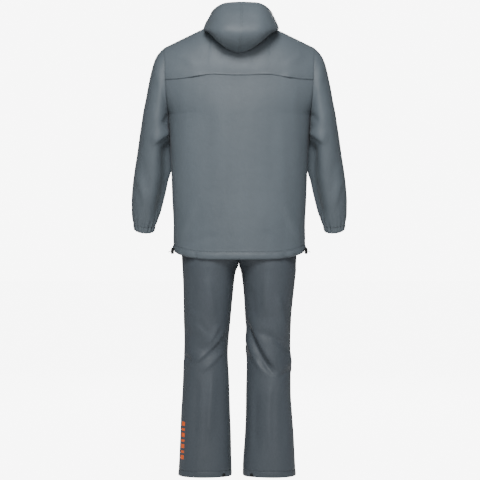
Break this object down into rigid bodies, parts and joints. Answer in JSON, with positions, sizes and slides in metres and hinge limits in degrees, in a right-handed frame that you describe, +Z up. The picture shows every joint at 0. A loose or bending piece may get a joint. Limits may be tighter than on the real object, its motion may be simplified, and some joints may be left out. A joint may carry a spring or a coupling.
{
  "type": "rain suit",
  "caption": "Rain suit of coated cloth: hooded zip jacket with a yoke flap, elastic cuffs and a drawcord hem, over straight trousers, in its worn form.",
  "frame": {"origin": "centre of the neck opening at the level of the shoulders, where the wearer's shoulders hold the suit", "axes": "+Z up, +Y out of the suit's front, +X towards the wearer's right"},
  "size_m": [0.772, 0.3274, 1.66],
  "materials": {
    "jacket_cloth": "coated polyester, slate grey, soft sheen",
    "trouser_cloth": "coated polyester, darker slate grey, soft sheen",
    "zip_tape": "woven tape, black",
    "black_plastic": "moulded, black",
    "elastic_cord": "braided elastic, black"
  },
  "bodies": {
    "suit": {"hood_left": "jacket_cloth", "hood_right": "jacket_cloth", "back_yoke": "jacket_cloth", "back_panel": "jacket_cloth", "front_left": "jacket_cloth", "front_right": "jacket_cloth", "hem_casing": "jacket_cloth", "sleeve_left": "jacket_cloth", "sleeve_right": "jacket_cloth", "cuff_left": "jacket_cloth", "cuff_right": "jacket_cloth", "leg_left_back": "trouser_cloth", "leg_left_front": "trouser_cloth", "leg_right_back": "trouser_cloth", "leg_right_front": "trouser_cloth", "leg_hem_left": "trouser_cloth", "leg_hem_right": "trouser_cloth", "waistband": "trouser_cloth", "zip_tape_left": "zip_tape", "zip_tape_right": "zip_tape", "zip_slider": "black_plastic", "cord_lock_left": "black_plastic", "cord_lock_right": "black_plastic", "hem_snap_left": "black_plastic", "hem_snap_right": "black_plastic", "hem_cord_left": "elastic_cord", "hem_cord_right": "elastic_cord"},
    "pull_tab": {"zip_pull": "black_plastic"},
    "plunger_left": {"cord_plunger_left": "black_plastic"},
    "plunger_right": {"cord_plunger_right": "black_plastic"}
  },
  "joints": [
    {"name": "zip_pull_swing", "type": "hinge", "parent": "suit", "child": "pull_tab", "pos_m": [0, 0.11105, -0.022], "axis": [1, 0, 0], "range_deg": [-4, 150]},
    {"name": "cord_lock_left_press", "type": "slide", "parent": "suit", "child": "plunger_left", "axis": [0, 0, -1], "range_m": [0, 0.0024], "stiffness_N_per_m": 300},
    {"name": "cord_lock_right_press", "type": "slide", "parent": "suit", "child": "plunger_right", "axis": [0, 0, -1], "range_m": [0, 0.0024], "stiffness_N_per_m": 300}
  ]
}
